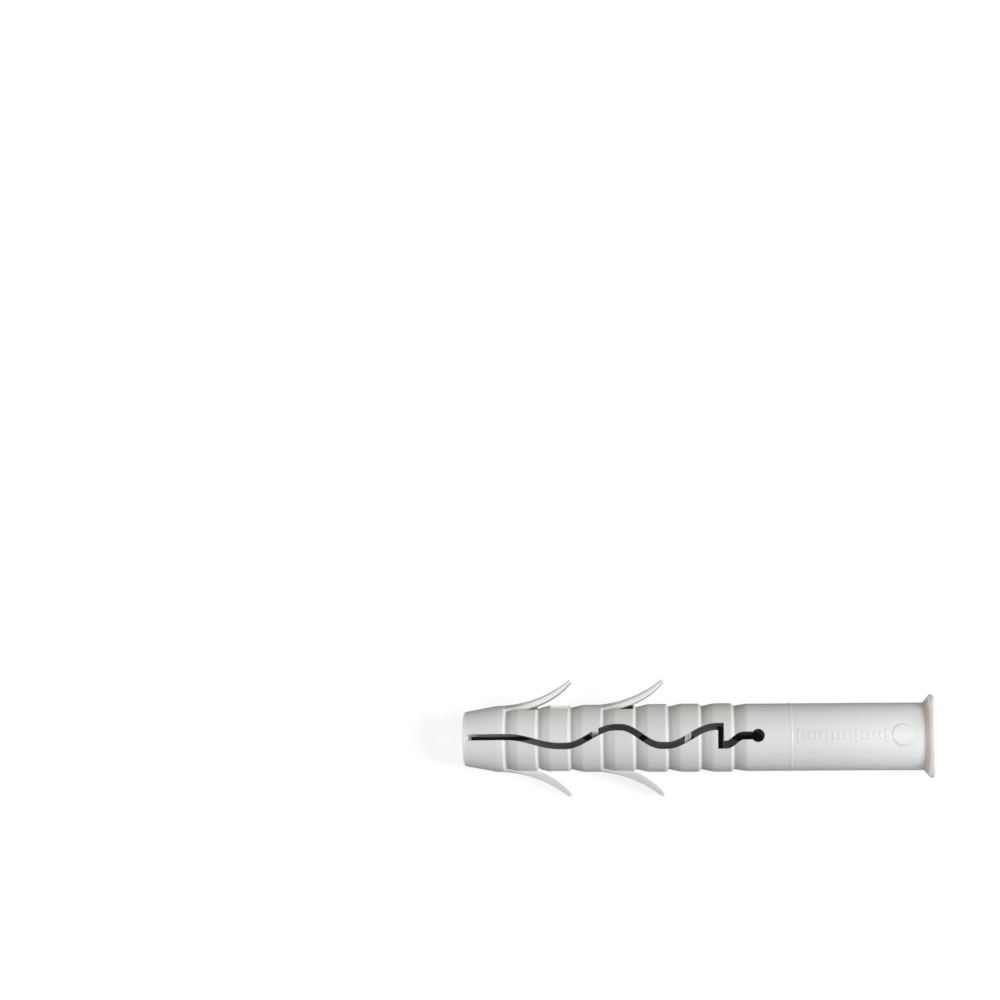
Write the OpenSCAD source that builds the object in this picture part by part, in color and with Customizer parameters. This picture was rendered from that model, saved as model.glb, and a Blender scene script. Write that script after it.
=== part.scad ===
// Frame plug for a scaffold eye bolt: one moulded piece, lying along X.
// The origin is the centre of the mouth face, +X points out of the mouth,
// and the plug lies rolled onto one of its barbs, as it comes to rest.
// Inside the modules X runs from the nose face towards the mouth, the wavy
// slots open to +Z and -Z, and the barbs spread along +Y and -Y.

/* [Sleeve] */
// Overall length, from the nose face to the mouth face
plug_l = 100; // [90:5:160]
// Outer diameter of the plain sleeve
sleeve_d = 14.25; // [14.1:0.05:14.5]
// Diameter of the bore that the bolt's shank slides in
bore_d = 12; // [11:0.1:12.4]
// Distance from the end of the rings to the fine bead round the sleeve
bead_gap = 9.4; // [6:0.1:14]
// Width of the fine bead
bead_w = 0.7; // [0.4:0.05:1]
// Width of the fine bead's flat top
bead_top_w = 0.25; // [0.1:0.05:0.35]
// Height of the fine bead above the sleeve
bead_h = 0.07; // [0.03:0.01:0.2]

/* [Collar] */
// Diameter of the flared collar that stops the plug at the wall
collar_d = 17.7; // [16:0.1:20]
// Thickness of the collar's edge
rim_t = 0.95; // [0.5:0.05:1.2]
// Rounding of the collar's edge on the mouth side
rim_round = 0.25; // [0.1:0.05:0.4]
// Slope of the collar's underside from the sleeve's surface
flare_angle = 52; // [30:1:60]
// Width of the lead-in chamfer at the mouth
mouth_chamfer = 0.8; // [0.3:0.1:1.2]

/* [Nose] */
// Diameter of the nose face
nose_d = 11.6; // [10.6:0.1:12.6]
// Rounding of the nose face's edge
nose_round = 0.5; // [0.2:0.05:0.8]
// Length of the conical part of the nose
cone_l = 7.3; // [5:0.1:7.8]
// Largest diameter of the nose
nose_top_d = 14.1; // [14:0.05:14.5]
// Diameter of the pilot hole in the nose
pilot_d = 6; // [5.8:0.1:7]
// Width of the chamfer round the pilot hole
pilot_chamfer = 0.4; // [0.2:0.05:0.6]

/* [Rings] */
// Number of steps along the expansion zone
ring_count = 8; // [7:1:9]
// Distance from the nose face to the first step
first_step = 9.2; // [8.8:0.1:10]
// Distance from one step to the next
ring_pitch = 6.91; // [6.6:0.01:7.1]
// Ring diameter next to the nose
ring_d = 14.05; // [14:0.05:14.4]
// Ring diameter next to the sleeve
ring_last_d = 14.5; // [14.3:0.05:14.7]
// Depth of the groove behind each step
groove_depth = 0.55; // [0.3:0.05:0.6]
// Length of the ramp from a groove up to the next ring
ramp_l = 2.6; // [1.8:0.1:3.4]
// Length of the bevelled face of each step
step_l = 0.55; // [0.3:0.05:0.9]

/* [Bore taper] */
// Distance from the nose face to the start of the taper
taper_start = 10; // [6:0.5:12]
// Bore diameter at the wide end of the taper
taper_d = 9.2; // [8.6:0.1:9.6]
// Length of the cone between the taper and the sleeve's bore
shoulder_l = 3.5; // [2.5:0.1:5]
// Distance from the end of the rings to the sleeve's full bore
shoulder_gap = 0.4; // [0.2:0.1:1]

/* [Slot] */
// Width of the wavy slot at the nose
slot_nose_w = 1.25; // [1:0.05:1.4]
// Width of the wavy slot at the cross leg
slot_w = 1.5; // [1.2:0.05:1.7]
// Thickness of the nose ring left in front of the slot
nose_ring = 1.2; // [1.2:0.1:3]
// How far the wave swings to each side
wave_h = 1.95; // [1.4:0.05:2]
// Distance from the nose face to the end of the straight run
wave_start = 9.6; // [8:0.1:11]
// Distance from the nose face to the first trough
trough_1 = 21.2; // [20:0.1:22.5]
// Distance from the nose face to the first crest
crest_1 = 33; // [31.5:0.1:34]
// Distance from the nose face to the second trough
trough_2 = 42.8; // [41.5:0.1:43.5]
// Length over which each crest and trough stays level
crest_flat = 1.1; // [0.4:0.1:1.6]
// Distance from the cross leg back to the last step
leg_back = 2.8; // [2:0.1:3.5]
// Width of the cross leg
leg_w = 1.25; // [1:0.05:1.5]
// Width of the slot beyond the cross leg
foot_w = 1.65; // [1.2:0.05:1.9]
// Length of the straight run into the round hole
foot_run = 3.1; // [2.6:0.1:3.4]
// Diameter of the round hole that ends the slot
end_hole_d = 2.8; // [2.2:0.1:3.2]
// Distance from the end of the rings to the round hole's centre
end_hole_gap = 2.4; // [2.3:0.05:4]

/* [Webs] */
// Distance from the nose face to the first web across the slot
web_1 = 28.25; // [27:0.05:29.5]
// Distance from the nose face to the second web across the slot
web_2 = 47.85; // [47:0.05:49]
// Length of each web along the plug
web_l = 1.35; // [0.8:0.05:1.8]
// Thickness of each web
web_t = 1.1; // [0.6:0.1:1.6]
// Depth of each web below the bottom of the grooves
web_recess = 0.1; // [0.05:0.05:0.3]

/* [Barbs] */
// Distance from the nose face to the start of the first pair of barbs
barb_start = 7; // [6.6:0.1:7.4]
// Distance from the first pair of barbs to the second
barb_gap = 19.8; // [19:0.1:20.4]
// Radius of each barb's outer curve
barb_r = 24.8; // [20:0.2:26]
// Angle that each barb's curve turns through
barb_angle = 38; // [34:1:44]
// Thickness of a barb at its root
barb_root_t = 1.74; // [1.6:0.02:2]
// Thickness of a barb at its tip
barb_tip_t = 0.9; // [0.7:0.05:1.2]
// Width of a barb across the plug
barb_w = 4.6; // [3.6:0.1:5]
// Offset of a barb from the parting plane, front on one side and back on the other
barb_shift = 1; // [0.6:0.1:1.2]
// Distance from the axis to the floor of the notch under each barb
notch_floor = 5.95; // [5.8:0.05:6.2]
// Distance from a barb's start to the open end of its notch
notch_end = 9.5; // [9:0.1:10]
// Distance from the axis to the flat seat that a bent barb rests on
seat_floor = 6.8; // [6.6:0.05:6.9]

/* [Smoothness] */
// Number of straight pieces in each curve of the slot and barbs
curve_steps = 12; // [8:1:16]
// Number of straight pieces in each rounded edge
round_steps = 4; // [3:1:6]

/* [Hidden] */
$fn = 80;
nylon = [0.86, 0.86, 0.85];
cut_over = 1;
taper_power = 4;
root_depth = 0.7;
seat_clear = 0.1;

// Radii worked out from the diameters
sleeve_r = sleeve_d / 2;
bore_r = bore_d / 2;
collar_r = collar_d / 2;
nose_r = nose_d / 2;
nose_top_r = nose_top_d / 2;
pilot_r = pilot_d / 2;
ring_r = ring_d / 2;
ring_last_r = ring_last_d / 2;
taper_r = taper_d / 2;
end_hole_r = end_hole_d / 2;

// Places along the plug, from the nose face
last_step = step_x(ring_count - 1);
rings_end = last_step + ramp_l;
shoulder_end = rings_end + shoulder_gap;
bead_x = rings_end + bead_gap;
flare_start = plug_l - rim_t - (collar_r - sleeve_r) / tan(flare_angle);
leg_x = last_step - leg_back;
end_hole_x = rings_end + end_hole_gap;
barb_starts = [barb_start, barb_start + barb_gap];

// Reach of the cutters past the plug's surface
outside = collar_r + cut_over;
// Inner face of each barb's root, inside the wall
root_floor = notch_floor - root_depth;
// Top of the cut that clears the seat, above every ring and below the bent barb
seat_top = max(ring_r, ring_last_r) + seat_clear;
groove_r = ring_r - groove_depth;

function mix(a, b, t) = a + (b - a) * t;
function ease(t) = (1 - cos(180 * t)) / 2;
function step_x(i) = first_step + i * ring_pitch;
function land_r(i) = mix(ring_r, ring_last_r, i / (ring_count - 1));

// Points of a quarter arc that rounds an edge
function round_points(centre, r, from, to) = [
    for (k = [0 : round_steps])
        let (a = mix(from, to, k / round_steps))
            centre + r * [cos(a), sin(a)]
];

// One ring: the top of its ramp, its land and the bevelled step down to the next groove
function ring_points(i) = [
    [land_r(i), step_x(i - 1) + ramp_l],
    [land_r(i), step_x(i) - step_l],
    [land_r(i) - groove_depth, step_x(i)]
];

// Outer outline as radius and distance from the nose face
function nose_points() = concat(
    round_points([nose_r - nose_round, nose_round], nose_round, -90, 0),
    [
        [nose_top_r, cone_l],
        [nose_top_r, first_step - step_l],
        [groove_r, first_step]
    ]
);
function sleeve_points() = [
    [sleeve_r, rings_end],
    [sleeve_r, bead_x - bead_w / 2],
    [sleeve_r + bead_h, bead_x - bead_top_w / 2],
    [sleeve_r + bead_h, bead_x + bead_top_w / 2],
    [sleeve_r, bead_x + bead_w / 2],
    [sleeve_r, flare_start]
];
function collar_points() = concat(
    [[collar_r, plug_l - rim_t]],
    round_points([collar_r - rim_round, plug_l - rim_round], rim_round, 0, 90)
);

module outer_body() {
    rotate_extrude()
        polygon(concat(
            [[0, 0]],
            nose_points(),
            [for (i = [1 : ring_count - 1]) each ring_points(i)],
            sleeve_points(),
            collar_points(),
            [[0, plug_l]]
        ));
}

// Pilot hole, taper that the bolt spreads, shoulder and the sleeve's bore
module bore() {
    rotate_extrude()
        polygon([
            [0, -cut_over],
            [pilot_r + pilot_chamfer + cut_over, -cut_over],
            [pilot_r, pilot_chamfer],
            [pilot_r, taper_start],
            [taper_r, shoulder_end - shoulder_l],
            [bore_r, shoulder_end],
            [bore_r, plug_l - mouth_chamfer],
            [bore_r + mouth_chamfer + cut_over, plug_l + cut_over],
            [0, plug_l + cut_over]
        ]);
}

// Turning points of the slot's centre line: level stretches between eased slopes
wave = [
    [wave_start, 0],
    [trough_1 - crest_flat / 2, -wave_h],
    [trough_1 + crest_flat / 2, -wave_h],
    [crest_1 - crest_flat / 2, wave_h],
    [crest_1 + crest_flat / 2, wave_h],
    [trough_2 - crest_flat / 2, -wave_h],
    [trough_2 + crest_flat / 2, -wave_h],
    [leg_x - crest_flat, wave_h]
];
foot = [
    [leg_x + crest_flat, foot_w / 2 - wave_h - slot_w / 2],
    [end_hole_x - foot_run, 0]
];

// Points along an eased slope from one turning point to the next
function slope_points(a, b) = [
    for (k = [0 : curve_steps])
        let (t = k / curve_steps)
            [mix(a.x, b.x, t), mix(a.y, b.y, ease(t))]
];
function line_through(turns) = [
    for (k = [0 : 2 : len(turns) - 1]) each slope_points(turns[k], turns[k + 1])
];

// Direction of a line at one of its points, from the neighbours on each side
function direction(line, k) =
    let (d = line[min(k + 1, len(line) - 1)] - line[max(k - 1, 0)])
        d / norm(d);

// Points along one side of a line, whose width changes evenly from start to end
function side_points(line, start_w, end_w, side) = [
    for (k = [0 : len(line) - 1])
        let (d = direction(line, k))
        let (width = mix(start_w, end_w, (line[k].x - line[0].x) / (line[len(line) - 1].x - line[0].x)))
            line[k] + side * width / 2 * [-d.y, d.x]
];
function reversed(points) = [for (k = [len(points) - 1 : -1 : 0]) points[k]];

module channel(line, start_w, end_w) {
    polygon(concat(
        side_points(line, start_w, end_w, 1),
        reversed(side_points(line, start_w, end_w, -1))
    ));
}

module slot_outline() {
    channel(concat([[nose_ring, 0]], line_through(wave), [[leg_x, wave_h]]), slot_nose_w, slot_w);
    channel(concat([[leg_x, foot[0].y]], line_through(foot), [[end_hole_x, 0]]), foot_w, foot_w);
    translate([leg_x - leg_w / 2, -wave_h - slot_w / 2])
        square([leg_w, 2 * wave_h + slot_w]);
    translate([end_hole_x, 0])
        circle(end_hole_r);
}

// One slot from the axis outwards, bridged by the two webs
module slot_cut() {
    difference() {
        linear_extrude(outside)
            slot_outline();
        for (x = [web_1, web_2])
            translate([x - web_l / 2, -outside, groove_r - web_recess - web_t])
                cube([web_l, 2 * outside, web_t]);
    }
}

// Point of a barb at an angle along its curve and a depth below its outer edge
function barb_point(a, depth) = [
    (barb_r + depth) * sin(a),
    ring_r + barb_r - (barb_r + depth) * cos(a)
];
function barb_thickness(a) =
    mix(barb_root_t, barb_tip_t, pow(a / barb_angle, taper_power));
function barb_edge(from, to) = [
    for (k = [0 : curve_steps])
        let (a = mix(from, to, k / curve_steps))
            barb_point(a, barb_thickness(a))
];
notch_from = acos((ring_r + barb_r - notch_floor) / (barb_r + barb_root_t));
notch_to = asin(notch_end / (barb_r + barb_root_t));

// Side of a barb below its outer curve, with the rounded tip
tip_centre = barb_point(barb_angle, barb_tip_t / 2);
tip_top = tip_centre.y + barb_tip_t / 2;
module barb_outline() {
    polygon(concat(
        [[0, root_floor], [0, tip_top]],
        round_points(tip_centre, barb_tip_t / 2, 90, barb_angle - 90),
        barb_edge(barb_angle, notch_from),
        [[barb_point(notch_from, barb_root_t).x, root_floor]]
    ));
}

// Outer curve of a barb turned round the plug's axis, and carried on past the tip
curve_end = barb_point(barb_angle, 0) + 2 * barb_tip_t * [cos(barb_angle), sin(barb_angle)];
module barb_bell() {
    rotate([0, 90, 0])
        rotate_extrude()
            polygon(concat(
                [[0, -cut_over], [ring_r, -cut_over]],
                [for (k = [1 : curve_steps])
                    let (p = barb_point(barb_angle * k / curve_steps, 0))
                        [p.y, p.x]],
                [[curve_end.y, curve_end.x], [0, curve_end.x]]
            ));
}
module notch_outline() {
    polygon(concat(barb_edge(notch_from, notch_to), [[notch_end, notch_floor]]));
}

// Puts an outline at a barb's place, over the barb's width
module at_barb(start, from, to) {
    translate([start, 0, from])
        linear_extrude(to - from)
            children();
}
barb_back = barb_shift - barb_w / 2;
barb_front = barb_shift + barb_w / 2;

// A barb is flat in front and at the back, and round with the plug on its outer side
module barb(start) {
    intersection() {
        at_barb(start, barb_back, barb_front)
            barb_outline();
        translate([start, 0, 0])
            barb_bell();
    }
}

// Roll at which a barb of the first pair meets the surface under the nose and the collar
barb_place = (barb_start + tip_centre.x - first_step) / (plug_l - first_step);
lie_height = mix(nose_top_r, collar_r, barb_place);
rest_roll = asin(lie_height / norm([tip_top, barb_front])) - atan2(barb_front, tip_top);

// Block on the third ring, under a barb of the first pair, between two distances from the axis
module seat_block(from, to) {
    translate([step_x(1) + ramp_l, from, barb_back])
        cube([ring_pitch - ramp_l - step_l, to - from, barb_w]);
}

// Repeats a shape, and repeats it again turned half round the axis
module both_sides() {
    children();
    rotate([180, 0, 0])
        children();
}

module anchor_plug() {
    color(nylon)
        rotate([rest_roll, 0, 0])
            translate([-plug_l, 0, 0])
                difference() {
                    union() {
                        rotate([0, 90, 0])
                            outer_body();
                        both_sides() {
                            for (start = barb_starts)
                                barb(start);
                            seat_block(root_floor, seat_floor);
                        }
                    }
                    rotate([0, 90, 0])
                        bore();
                    both_sides() {
                        slot_cut();
                        for (start = barb_starts)
                            at_barb(start, barb_back, outside)
                                notch_outline();
                        seat_block(seat_floor, seat_top);
                    }
                }
}

anchor_plug();
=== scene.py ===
import math

import bmesh
import bpy
from bpy.props import FloatProperty, FloatVectorProperty, IntProperty, PointerProperty
from mathutils import Matrix, Vector


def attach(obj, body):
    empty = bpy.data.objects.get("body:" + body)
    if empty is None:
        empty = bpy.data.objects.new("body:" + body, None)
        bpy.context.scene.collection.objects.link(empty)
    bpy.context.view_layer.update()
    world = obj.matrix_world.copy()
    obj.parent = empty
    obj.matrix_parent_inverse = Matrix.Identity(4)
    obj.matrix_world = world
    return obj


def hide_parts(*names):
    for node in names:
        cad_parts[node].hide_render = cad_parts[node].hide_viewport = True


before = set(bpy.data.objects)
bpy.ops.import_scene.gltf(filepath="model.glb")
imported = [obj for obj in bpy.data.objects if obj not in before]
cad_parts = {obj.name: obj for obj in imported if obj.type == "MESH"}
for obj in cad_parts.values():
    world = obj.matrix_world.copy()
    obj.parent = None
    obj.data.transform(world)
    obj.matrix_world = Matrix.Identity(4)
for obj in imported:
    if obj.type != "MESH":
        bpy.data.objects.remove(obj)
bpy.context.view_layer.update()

bl_info = {
    "name": "Moulded Frame Plug",
    "version": (1, 0, 0),
    "blender": (4, 5, 0),
    "location": "View3D > Sidebar > Plug",
    "description": "Builds and finishes a moulded nylon frame plug, its marks and its studio",
    "category": "Object",
}

MM = 0.001

# Lengths in millimetres. Places along the plug are measured from the nose face towards the mouth.
# The slots open to +Z and -Z and the barbs spread along +Y and -Y, until the plug is rolled.
PLUG_L = 100.0
REST_ROLL = math.radians(19.892)
SLEEVE_R = 7.125
BORE_R = 6.0
MOUTH_BEVEL = 0.8
BORE_END = 60.57
TAPER_START = 57.07
TAPER_R = 4.6
PILOT_START = 10.0
PILOT_R = 3.0
PILOT_BEVEL = 0.4
COLLAR_R = 8.85
RIM_T = 0.95
FLARE_START = 97.702
NOSE_R = 5.708
CONE_L = 7.3
NOSE_TOP_R = 7.05
GROOVE_DEPTH = 0.55
RAMP_L = 2.6
STEP_L = 0.55
RING_COUNT = 8
FIRST_STEP = 9.2
RING_PITCH = 6.91
RING_R = 7.025
RING_LAST_R = 7.25
RINGS_END = 60.17
BEAD_X = 69.57
BEAD_L = 0.7
BEAD_TOP_L = 0.25
BEAD_H = 0.07
SLOT_NOSE_W = 1.25
SLOT_W = 1.5
NOSE_RING = 1.2
WAVE_START = 9.6
WAVE_CRESTS = ((21.2, -1), (33.0, 1), (42.8, -1))
WAVE_H = 1.95
CREST_FLAT = 1.1
LEG_X = 54.77
LEG_W = 1.25
FOOT_W = 1.65
FOOT_RUN = 3.1
END_HOLE_X = 62.57
END_HOLE_R = 1.4
WEBS = (28.25, 47.85)
WEB_L = 1.35
WEB_FLOOR = 5.275
WEB_TOP = 6.375
BARB_START = 7.0
BARB_GAP = 19.8
BARB_R = 24.8
BARB_ANGLE = math.radians(38)
BARB_ROOT_T = 1.74
BARB_TIP_T = 0.9
BARB_BACK = -1.3
BARB_FRONT = 3.3
NOTCH_FLOOR = 5.95
NOTCH_END = 9.5
SEAT_FLOOR = 6.8
SEAT_SUNK = 0.7
SEAT_CLEAR = 0.5
OUTSIDE = 10.0
TICKS_X = 70.95
TICK_W = 0.5
DISC_X = 92.9
DISC_RISE = 1.6
MARK_SINK = 0.05
RIDGE_STRETCHES = ((0.9, 8.5), (23.1, 28.6), (36.9, 99.7))
RIDGE_SINK = 0.28

# A face belongs to the turned outline if it lies this near to it and faces this much the same way
NEAR_OUTLINE = 0.03
SAME_WAY = 0.9
# Elsewhere an edge that turns by more than this is creased
CREASE = math.radians(28)

# The camera's place from the mouth in millimetres, and its turns in degrees, beside the slots
CAMERA_PLACE = (-56.73, -28.9, 560)
CAMERA_TURNS = ((3.6183, "Y"), (8.1744, "X"), (-0.1747, "Z"))

# Name, place, size, level and tint of each lamp, which all point at the middle of the plug
LAMP_TARGET = (-50, 0, 0)
LAMPS = (
    ("mouth_lamp", (590, -10, 640), (380, 380), 1.28, (1.0, 1.0, 1.0)),
    ("nose_lamp", (-880, 10, 190), (500, 160), 0.65, (1.0, 1.0, 1.0)),
    ("warm_side_lamp", (-60, 500, 60), (300, 80), 0.03, (1.0, 1.0, 0.3)),
    ("cool_side_lamp", (-60, -500, 60), (300, 80), 0.045, (0.85, 0.80, 1.0)),
)
# Name, place, target, radius of the lit circle and level of each spot
SPOTS = (
    ("sleeve_spot", (10, -20, 330), (10, -4, 7), 40, 0.17),
    ("nose_spot", (-94, 20, 330), (-94, 2, 7), 30, 0.09),
)


def rolled(matrix):
    """A placing beside the plug's slots and barbs, turned with the plug as it lies."""
    return Matrix.Rotation(REST_ROLL, 4, "X") @ matrix


def mixed(first, last, t):
    return first + (last - first) * t


def step_x(ring):
    return FIRST_STEP + ring * RING_PITCH


def land_r(ring):
    return mixed(RING_R, RING_LAST_R, ring / (RING_COUNT - 1))


def maths(operation, swapped=False):
    """A method of Field that makes a math node."""
    def made(field, other=0.0):
        first, second = (other, field) if swapped else (field, other)
        return field.graph.node("ShaderNodeMath", {"operation": operation}, {0: first, 1: second})
    return made


class Field:
    """A value of a node tree that takes part in Python expressions."""

    def __init__(self, graph, socket):
        self.graph = graph
        self.socket = socket

    __add__, __radd__ = maths("ADD"), maths("ADD", swapped=True)
    __sub__, __rsub__ = maths("SUBTRACT"), maths("SUBTRACT", swapped=True)
    __mul__, __rmul__ = maths("MULTIPLY"), maths("MULTIPLY", swapped=True)
    __truediv__, __mod__ = maths("DIVIDE"), maths("MODULO")
    root, floor, size = maths("SQRT"), maths("FLOOR"), maths("ABSOLUTE")
    sine, cosine = maths("SINE"), maths("COSINE")
    raised, above, least = maths("POWER"), maths("GREATER_THAN"), maths("MINIMUM")


class Graph:
    """A node tree that is filled node by node."""

    def __init__(self, tree):
        self.tree = tree

    def node(self, kind, settings=None, inputs=None, output=0):
        made = self.tree.nodes.new(kind)
        for name, value in (settings or {}).items():
            setattr(made, name, value)
        for name, value in (inputs or {}).items():
            for given in value if isinstance(value, list) else [value]:
                if isinstance(given, Field):
                    self.tree.links.new(given.socket, made.inputs[name])
                else:
                    made.inputs[name].default_value = given
        return Field(self, made.outputs[output]) if made.outputs else made

    def vector(self, x=0.0, y=0.0, z=0.0):
        return self.node("ShaderNodeCombineXYZ", {}, {0: x, 1: y, 2: z})

    def parts(self, vector):
        return [self.node("ShaderNodeSeparateXYZ", {}, {0: vector}, output=k) for k in range(3)]


class Finish(Graph):
    """A material whose nodes are added one by one."""

    def __init__(self, name):
        self.material = bpy.data.materials.new(name)
        self.material.use_nodes = True
        super().__init__(self.material.node_tree)
        self.tree.nodes.clear()

    def surface(self, shader):
        self.node("ShaderNodeOutputMaterial", {}, {"Surface": shader})
        return self.material

    def place(self):
        """Millimetres from the mouth, unrolled so that the slots face +Z, and their parts."""
        coordinates = self.node("ShaderNodeTexCoord", output=3)
        place = self.node("ShaderNodeMapping", {}, {
            "Vector": coordinates,
            "Rotation": (-REST_ROLL, 0, 0),
            "Scale": (1 / MM, 1 / MM, 1 / MM),
        })
        return place, self.parts(place)

    def stretched(self, place, scale):
        return self.node("ShaderNodeVectorMath", {"operation": "MULTIPLY"}, {0: place, 1: scale})

    def noise(self, place, scale, detail=2.0, roughness=0.5):
        return self.node("ShaderNodeTexNoise", {}, {
            "Vector": place, "Scale": scale, "Detail": detail, "Roughness": roughness,
        })

    def step(self, value, low, high):
        """0 below low, 1 above high, and eased between them."""
        return self.node("ShaderNodeMapRange", {"interpolation_type": "SMOOTHSTEP"}, {
            0: value, 1: low, 2: high, 3: 0.0, 4: 1.0,
        })

    def below(self, value, low, high):
        """1 below low, 0 above high, and eased between them."""
        return 1.0 - self.step(value, low, high)

    def span(self, value, start, risen, falling, end):
        """0 before start and after end, and 1 from risen to falling."""
        return self.step(value, start, risen) * self.below(value, falling, end)

    def mix(self, factor, first, second, blend="MIX"):
        settings = {"data_type": "RGBA", "blend_type": blend}
        return self.node("ShaderNodeMix", settings, {0: factor, 6: first, 7: second}, output=2)


class Shape(Graph):
    """A Geometry Nodes tree with named inputs, whose result becomes a plain mesh."""

    def __init__(self, name, **inputs):
        tree = bpy.data.node_groups.new(name, "GeometryNodeTree")
        super().__init__(tree)
        tree.interface.new_socket("Geometry", in_out="INPUT", socket_type="NodeSocketGeometry")
        for label, kind in inputs.items():
            tree.interface.new_socket(label, in_out="INPUT", socket_type="NodeSocket" + kind)
        tree.interface.new_socket("Geometry", in_out="OUTPUT", socket_type="NodeSocketGeometry")
        self.group = tree.nodes.new("NodeGroupInput")

    def given(self, label):
        return Field(self, self.group.outputs[label])

    def end(self, geometry):
        realized = self.node("GeometryNodeRealizeInstances", {}, {"Geometry": geometry})
        finished = self.node("GeometryNodeSetMaterial", {}, {
            "Geometry": realized, "Material": self.given("Material"),
        })
        self.node("NodeGroupOutput", {}, {0: finished})
        return self

    def made_on(self, name, mesh, **values):
        """Runs the tree on a mesh and returns an object with the plain result."""
        thing = added(name, mesh)
        modifier = thing.modifiers.new("shape", "NODES")
        modifier.node_group = self.tree
        for item in self.tree.interface.items_tree:
            if item.in_out == "INPUT" and item.name in values:
                modifier[item.identifier] = values[item.name]
        return settled(thing)


def settled(thing):
    """Turns a piece's modifiers into its plain mesh."""
    depsgraph = bpy.context.evaluated_depsgraph_get()
    mesh = bpy.data.meshes.new_from_object(thing.evaluated_get(depsgraph), depsgraph=depsgraph)
    thing.modifiers.clear()
    thing.data = mesh
    return thing


def added(name, data):
    """Puts a new object into the scene."""
    thing = bpy.data.objects.new(name, data)
    bpy.context.scene.collection.objects.link(thing)
    return thing


def colour(rgb):
    return (*rgb, 1.0)


def grey(level):
    return colour((level, level, level))


def mesh_of(name, points, faces, edges=()):
    mesh = bpy.data.meshes.new(name)
    mesh.from_pydata([tuple(p) for p in points], list(edges), faces)
    return mesh


def skinned(mesh, skin):
    """Leaves a mesh one material on all its faces."""
    mesh.materials.clear()
    mesh.materials.append(skin)
    mesh.polygons.foreach_set("material_index", [0] * len(mesh.polygons))
    return mesh


def outwards(mesh, distance=1e-5):
    """Merges doubles and points every face outwards."""
    work = bmesh.new()
    work.from_mesh(mesh)
    bmesh.ops.remove_doubles(work, verts=work.verts, dist=distance)
    bmesh.ops.recalc_face_normals(work, faces=work.faces)
    work.to_mesh(mesh)
    work.free()
    return mesh


def ring_corners(ring):
    """One ring: the top of its ramp, its land and the bevelled step, with their rounding."""
    return [
        (step_x(ring - 1) + RAMP_L, land_r(ring), 0.5),
        (step_x(ring) - STEP_L, land_r(ring), 0.1),
        (step_x(ring), land_r(ring) - GROOVE_DEPTH, 0.14),
    ]


def outer_corners():
    """Outer outline of the plug as place, radius and the run of its rounding along each side."""
    corners = [
        (0.0, NOSE_R, 0.47), (CONE_L, NOSE_TOP_R, 0.55), (FIRST_STEP - STEP_L, NOSE_TOP_R, 0.1),
        (FIRST_STEP, RING_R - GROOVE_DEPTH, 0.14),
    ]
    for ring in range(1, RING_COUNT):
        corners += ring_corners(ring)
    return corners + [
        (RINGS_END, SLEEVE_R, 0.5),
        (BEAD_X - BEAD_L / 2, SLEEVE_R, 0.06), (BEAD_X - BEAD_TOP_L / 2, SLEEVE_R + BEAD_H, 0.06),
        (BEAD_X + BEAD_TOP_L / 2, SLEEVE_R + BEAD_H, 0.06), (BEAD_X + BEAD_L / 2, SLEEVE_R, 0.06),
        (FLARE_START, SLEEVE_R, 0.3), (PLUG_L - RIM_T, COLLAR_R, 0.2), (PLUG_L, COLLAR_R, 0.65),
    ]


def outline_corners():
    """Outline of half the plug's section, with the bore and the taper that the bolt spreads."""
    return outer_corners() + [
        (PLUG_L, BORE_R + MOUTH_BEVEL, 0.1), (PLUG_L - MOUTH_BEVEL, BORE_R, 0.1),
        (BORE_END, BORE_R, 0.3), (TAPER_START, TAPER_R, 0.3), (PILOT_START, PILOT_R, 0.3),
        (PILOT_BEVEL, PILOT_R, 0.05), (0.0, PILOT_R + PILOT_BEVEL, 0.05),
    ]


def outline_mesh(name, runs, closed):
    """Lines of edges through runs of corners, with each corner's rounding as a radius."""
    points, edges, radii = [], [], []
    for run in runs:
        first = len(points)
        places = [Vector((x, r)) for x, r, _ in run]
        for k, (_, _, rounding) in enumerate(run):
            after = (k + 1) % len(run)
            radius = 0.0
            if closed or 0 < k < len(run) - 1:
                toward = (places[k] - places[k - 1]).normalized()
                away = (places[after] - places[k]).normalized()
                radius = rounding / math.tan(toward.angle(away) / 2)
            radii.append(radius)
            if closed or after:
                edges.append((first + k, first + after))
        points += [(x, r, 0) for x, r, _ in run]
    mesh = mesh_of(name, points, [], edges)
    mesh.attributes.new("rounding", "FLOAT", "POINT").data.foreach_set("value", radii)
    return mesh


def rounded_line(shape):
    """The outline's edges as a curve with rounded corners."""
    line = shape.node("GeometryNodeMeshToCurve", {}, {"Mesh": shape.given("Geometry")})
    rounding = shape.node("GeometryNodeInputNamedAttribute", {"data_type": "FLOAT"}, {
        "Name": "rounding",
    })
    return shape.node("GeometryNodeFilletCurve", {"mode": "POLY"}, {
        "Curve": line, "Count": shape.given("Corner_Steps"), "Radius": rounding,
        "Limit Radius": True,
    })


def both_sides(shape, form):
    """A form, and the same form turned half round the plug's axis."""
    other = shape.node("GeometryNodeTransform", {}, {"Geometry": form, "Rotation": (math.pi, 0, 0)})
    return shape.node("GeometryNodeJoinGeometry", {}, {"Geometry": [form, other]})


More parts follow.
